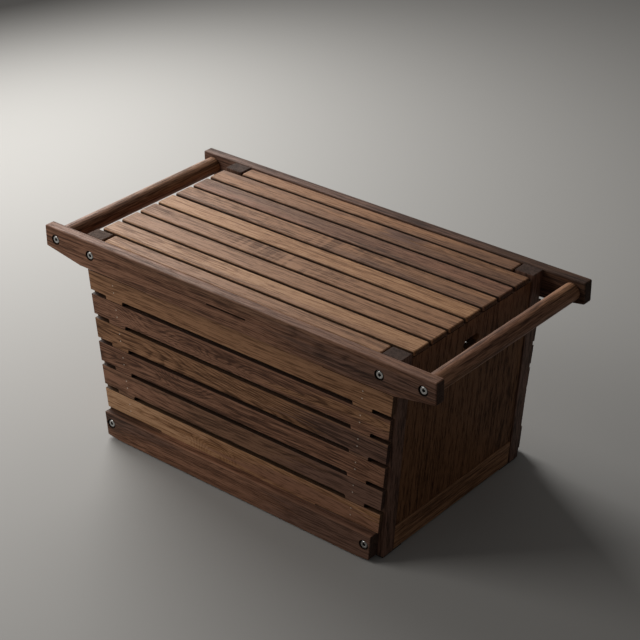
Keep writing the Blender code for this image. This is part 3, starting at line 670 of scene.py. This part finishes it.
BOLT_SIDES = 48
SOCKET_ACROSS = 0.0060
SOCKET_DEPTH = 0.0026
SOCKET_LEAD_IN = 0.0007
SOCKET_LEAD_IN_DEPTH = 0.0004
SOCKET_RINGS = 2
HEAD_HEIGHT = 0.0030
HEAD_EASE = 0.0003
SHANK_RADIUS = 0.0030
SHANK_TIP = 0.6
BOLT_DULL = (0.38, 0.38, 0.37)
BOLT_BRIGHT = (0.56, 0.56, 0.545)
# Painted shade for the sockets: near black, mottled a little lighter.
SOCKET_PAINTED_SHADE = (0.006, 0.006, 0.006)
SOCKET_SHADE_MOTTLE = (0.022, 0.020, 0.018)

# The rounded rim of a head, as steps in from its side and down from its top.
HEAD_RIM = ((0.0, -0.0012), (-0.0003, -0.0005), (-0.0009, 0.0))

bolt_steel = bpy.data.materials.new("bolt_steel_bright")
bolt_steel.use_nodes = True
place = add_node(bolt_steel, "ShaderNodeTexCoord", {}).outputs["Object"]
turning = add_node(bolt_steel, "ShaderNodeTexNoise", {"Vector": place, "Scale": 700.0, "Detail": 3.0})
bolt_skin = bolt_steel.node_tree.nodes["Principled BSDF"]
bolt_colour = colour_ramp(bolt_steel, turning.outputs["Fac"], [(0.3, BOLT_DULL), (0.7, BOLT_BRIGHT)])
bolt_steel.node_tree.links.new(bolt_colour, bolt_skin.inputs["Base Color"])
bolt_steel.node_tree.links.new(
    fade(bolt_steel, turning.outputs["Fac"], 0.3, 0.7, 0.22, 0.38), bolt_skin.inputs["Roughness"]
)
bolt_skin.inputs["Metallic"].default_value = 1.0

# The sockets are painted near black as shade, with a faint lighter mottle.
socket_painted_shade = bpy.data.materials.new("socket_painted_shade")
socket_painted_shade.use_nodes = True
place = add_node(socket_painted_shade, "ShaderNodeTexCoord", {}).outputs["Object"]
mottle = add_node(socket_painted_shade, "ShaderNodeTexNoise", {"Vector": place, "Scale": 1600.0, "Detail": 2.0})
socket_skin = socket_painted_shade.node_tree.nodes["Principled BSDF"]
socket_colour = colour_ramp(socket_painted_shade, mottle.outputs["Fac"], [(0.4, SOCKET_PAINTED_SHADE), (0.7, SOCKET_SHADE_MOTTLE)])
socket_painted_shade.node_tree.links.new(socket_colour, socket_skin.inputs["Base Color"])
socket_skin.inputs["Roughness"].default_value = 0.7


def six_sided(across, height, sides):
    """A ring of points that follows a hexagon, this far across its flats."""
    ring = []
    for step in range(sides):
        angle = 2 * math.pi * step / sides
        from_flat = (angle + math.pi / 6) % (math.pi / 3) - math.pi / 6
        reach = across / 2 / math.cos(from_flat)
        ring.append(Vector((reach * math.cos(angle), reach * math.sin(angle), height)))
    return ring


for face, sign in FACES.items():
    for side in SIDES:
        for kind in ("handle", "post", "foot"):
            node = f"{face}_{side}_{kind}_bolt"
            low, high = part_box(node)
            middle = (low + high) / 2
            radius = (high.x - low.x) / 2
            length = high.y - low.y
            top = Vector((middle.x, low.y if sign < 0 else high.y, middle.z))
            rings = [
                circle(SHANK_RADIUS * SHANK_TIP, -length, BOLT_SIDES),
                circle(SHANK_RADIUS, -length + SHANK_RADIUS / 2, BOLT_SIDES),
                circle(SHANK_RADIUS, -HEAD_HEIGHT, BOLT_SIDES),
                circle(radius - HEAD_EASE, -HEAD_HEIGHT, BOLT_SIDES),
                circle(radius, -HEAD_HEIGHT + HEAD_EASE, BOLT_SIDES),
                *(circle(radius + out, up, BOLT_SIDES) for out, up in HEAD_RIM),
                six_sided(SOCKET_ACROSS + SOCKET_LEAD_IN, 0.0, BOLT_SIDES),
                six_sided(SOCKET_ACROSS, -SOCKET_LEAD_IN_DEPTH, BOLT_SIDES),
                six_sided(SOCKET_ACROSS, -SOCKET_DEPTH, BOLT_SIDES),
            ]
            points, faces = ring_mesh(rings, BOLT_SIDES)
            turn = Vector((0, 0, 1)).rotation_difference(Vector((0, sign, 0))).to_matrix()
            points = [top + turn @ point for point in points]
            bolt = make_piece(f"{kind}_bolt_{face}_{side}", points, faces, bolt_steel, "crate", 30)
            bolt.data.materials.append(socket_painted_shade)
            # The faces inside the socket take the painted shade.
            first_inside = (len(rings) - SOCKET_RINGS) * BOLT_SIDES
            for polygon in bolt.data.polygons:
                inside = all(index >= first_inside for index in polygon.vertices)
                polygon.material_index = 1 if inside else 0
            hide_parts(node)

# Foot pads
# A thin black rubber strip stuck under each corner, so that the crate grips and the wood stays dry.

RUBBER_BLACK = (0.010, 0.010, 0.010)
RUBBER_GREY = (0.028, 0.027, 0.026)

rubber = bpy.data.materials.new("pad_rubber_black")
rubber.use_nodes = True
place = add_node(rubber, "ShaderNodeTexCoord", {}).outputs["Object"]
grit_noise = add_node(rubber, "ShaderNodeTexNoise", {"Vector": place, "Scale": 1400.0, "Detail": 3.0})
grit = grit_noise.outputs["Fac"]
rubber_skin = rubber.node_tree.nodes["Principled BSDF"]
rubber_colour = colour_ramp(rubber, grit, [(0.3, RUBBER_BLACK), (0.7, RUBBER_GREY)])
rubber.node_tree.links.new(rubber_colour, rubber_skin.inputs["Base Color"])
rubber.node_tree.links.new(
    add_node(rubber, "ShaderNodeBump", {"Strength": 0.4, "Distance": 0.0002, "Height": grit}).outputs[0],
    rubber_skin.inputs["Normal"],
)
rubber_skin.inputs["Roughness"].default_value = 0.8
for face in FACES:
    for side in SIDES:
        finish_node(f"{face}_{side}_foot_pad", rubber)

# Lid boards
# Seven long boards and two shorter ones that fit between the posts, all of walnut with rounded edges.
# A band of cross figure runs over the middle of two of them.

LID_STREAKINESS = 0.7
LID_RUBBED = 0.12

# Each board's tone, the tree's heart, how strong the figure is, its slope, its curl and its second tone.
LID_BOARDS = {
    "lid_front_board": ("warm", (0.05, -0.05), 0.30, 0.02, None, "honey"),
    "lid_board_1": ("honey", (0.02, -0.05), 0.35, 0.05, None, "warm"),
    "lid_board_2": ("warm", (0.05, -0.05), 0.30, 0.02, None, None),
    "lid_board_3": ("warm", (0.03, -0.06), 0.25, 0.02, (-0.20, 0.12, 0.28), "rosy"),
    "lid_board_4": ("honey", (0.05, -0.04), 0.30, 0.02, None, "warm"),
    "lid_board_5": ("warm", (0.00, -0.04), 0.35, 0.05, (-0.08, 0.14, 0.26), "brown"),
    "lid_board_6": ("rosy", (0.05, -0.05), 0.30, 0.02, None, "brown"),
    "lid_board_7": ("warm", (0.02, -0.05), 0.35, 0.03, None, "brown"),
    "lid_back_board": ("warm", (0.05, -0.05), 0.30, 0.02, None, "brown"),
}
dark_spot = (middle_of("lid_board_7") + Vector((0.10, 0.0, 0.005)), 0.020, 0.30, "plum")
# Each board's long sides get painted shade, so the gaps between the boards read dark.
for index, (node, (tone, heart, figure, slope, curl, second)) in enumerate(LID_BOARDS.items()):
    spots = (dark_spot,) if node == "lid_board_7" else ()
    finish_node(node, walnut(node, tone, "X", heart, 101 + index, figure, slope, stains=spots, curl=curl,
                             second_tone=second, shaded_sides="Y", streakiness=LID_STREAKINESS,
                             rubbed=LID_RUBBED))

# Lid battens
# Two walnut strips under the lid that hold its boards together, with one small screw up into each board.

BATTENS = 2
SCREW_RADIUS = 0.0030
SCREW_STAND = 0.0004
SCREW_SIDES = 24

for number in range(1, BATTENS + 1):
    node = f"lid_batten_{number}"
    low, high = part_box(node)
    finish_node(node, walnut(node, "brown", "Y", (0.04, 0.04), 120 + number))
    places = [((low.x + high.x) / 2, middle_of(board).y, low.z) for board in LID_BOARDS]
    studs(f"lid_screws_{number}", places, (0, 0, -1), SCREW_RADIUS, SCREW_STAND, SCREW_SIDES, bolt_steel,
          "lid")

# Floor, light and camera
# The crate stands on a plain grey floor. A large soft light stands to its left and a little behind it,
# like a window, and a weaker one fills in from the front left. The camera looks down on its right corner.

FLOOR_SIZE = 14.0
FLOOR_COLOUR = (0.34, 0.335, 0.325)
SKY_COLOUR = (1.0, 0.97, 0.94)
SKY_STRENGTH = 0.12
LIGHT_SIZE = 1.5
WINDOW_WATTS = 58
WINDOW_COLOUR = (1.0, 0.985, 0.96)
FILL_WATTS = 31
FILL_COLOUR = (1.0, 0.97, 0.93)

floor_mesh = bpy.data.meshes.new("floor")
half = FLOOR_SIZE / 2
corners = [(-half, -half, 0), (half, -half, 0), (half, half, 0), (-half, half, 0)]
floor_mesh.from_pydata(corners, [], [(0, 1, 2, 3)])
floor = bpy.data.objects.new("floor", floor_mesh)
bpy.context.scene.collection.objects.link(floor)
paint = bpy.data.materials.new("floor_paint")
paint.use_nodes = True
paint_skin = paint.node_tree.nodes["Principled BSDF"]
paint_skin.inputs["Base Color"].default_value = (*FLOOR_COLOUR, 1.0)
paint_skin.inputs["Roughness"].default_value = 0.75
floor_mesh.materials.append(paint)

world = bpy.data.worlds.new("studio")
world.use_nodes = True
sky = world.node_tree.nodes["Background"]
sky.inputs["Color"].default_value = (*SKY_COLOUR, 1.0)
sky.inputs["Strength"].default_value = SKY_STRENGTH
bpy.context.scene.world = world

crate_top = Vector((0.0, 0.0, cad_high.z))


def soft_light(name, position, watts, colour):
    """A square light that faces the middle of the crate's top."""
    lamp = bpy.data.lights.new(name, "AREA")
    lamp.shape = "SQUARE"
    lamp.size = LIGHT_SIZE
    lamp.energy = watts
    lamp.color = colour
    made = bpy.data.objects.new(name, lamp)
    made.location = position
    made.rotation_euler = (crate_top - Vector(position)).to_track_quat("-Z", "Y").to_euler()
    bpy.context.scene.collection.objects.link(made)


soft_light("window_light", (-1.85, 0.70, 1.35), WINDOW_WATTS, WINDOW_COLOUR)
soft_light("front_fill", (-1.8, -1.5, 1.7), FILL_WATTS, FILL_COLOUR)
bpy.context.scene.view_settings.view_transform = "Standard"

VIEW_AZIMUTH = math.radians(40.04)
VIEW_ELEVATION = math.radians(29.18)
VIEW_ROLL = math.radians(-0.48)
VIEW_DISTANCE = 3.283
VIEW_OFF_RIGHT = -0.0175
VIEW_OFF_UP = 0.1235
LENS_MM = 103.17
SENSOR_MM = 36.0

away = Vector((
    math.sin(VIEW_AZIMUTH) * math.cos(VIEW_ELEVATION),
    -math.cos(VIEW_AZIMUTH) * math.cos(VIEW_ELEVATION),
    math.sin(VIEW_ELEVATION),
))
level_right = Vector((0, 0, 1)).cross(away).normalized()
level_up = away.cross(level_right)
right = math.cos(VIEW_ROLL) * level_right + math.sin(VIEW_ROLL) * level_up
up = math.cos(VIEW_ROLL) * level_up - math.sin(VIEW_ROLL) * level_right
lens = bpy.data.cameras.new("camera")
lens.lens = LENS_MM
lens.sensor_width = SENSOR_MM
camera = bpy.data.objects.new("camera", lens)
camera.matrix_world = Matrix.Translation(
    crate_top + VIEW_DISTANCE * away - VIEW_OFF_RIGHT * right - VIEW_OFF_UP * up
) @ Matrix((right, up, away)).transposed().to_4x4()
bpy.context.scene.collection.objects.link(camera)
bpy.context.scene.camera = camera
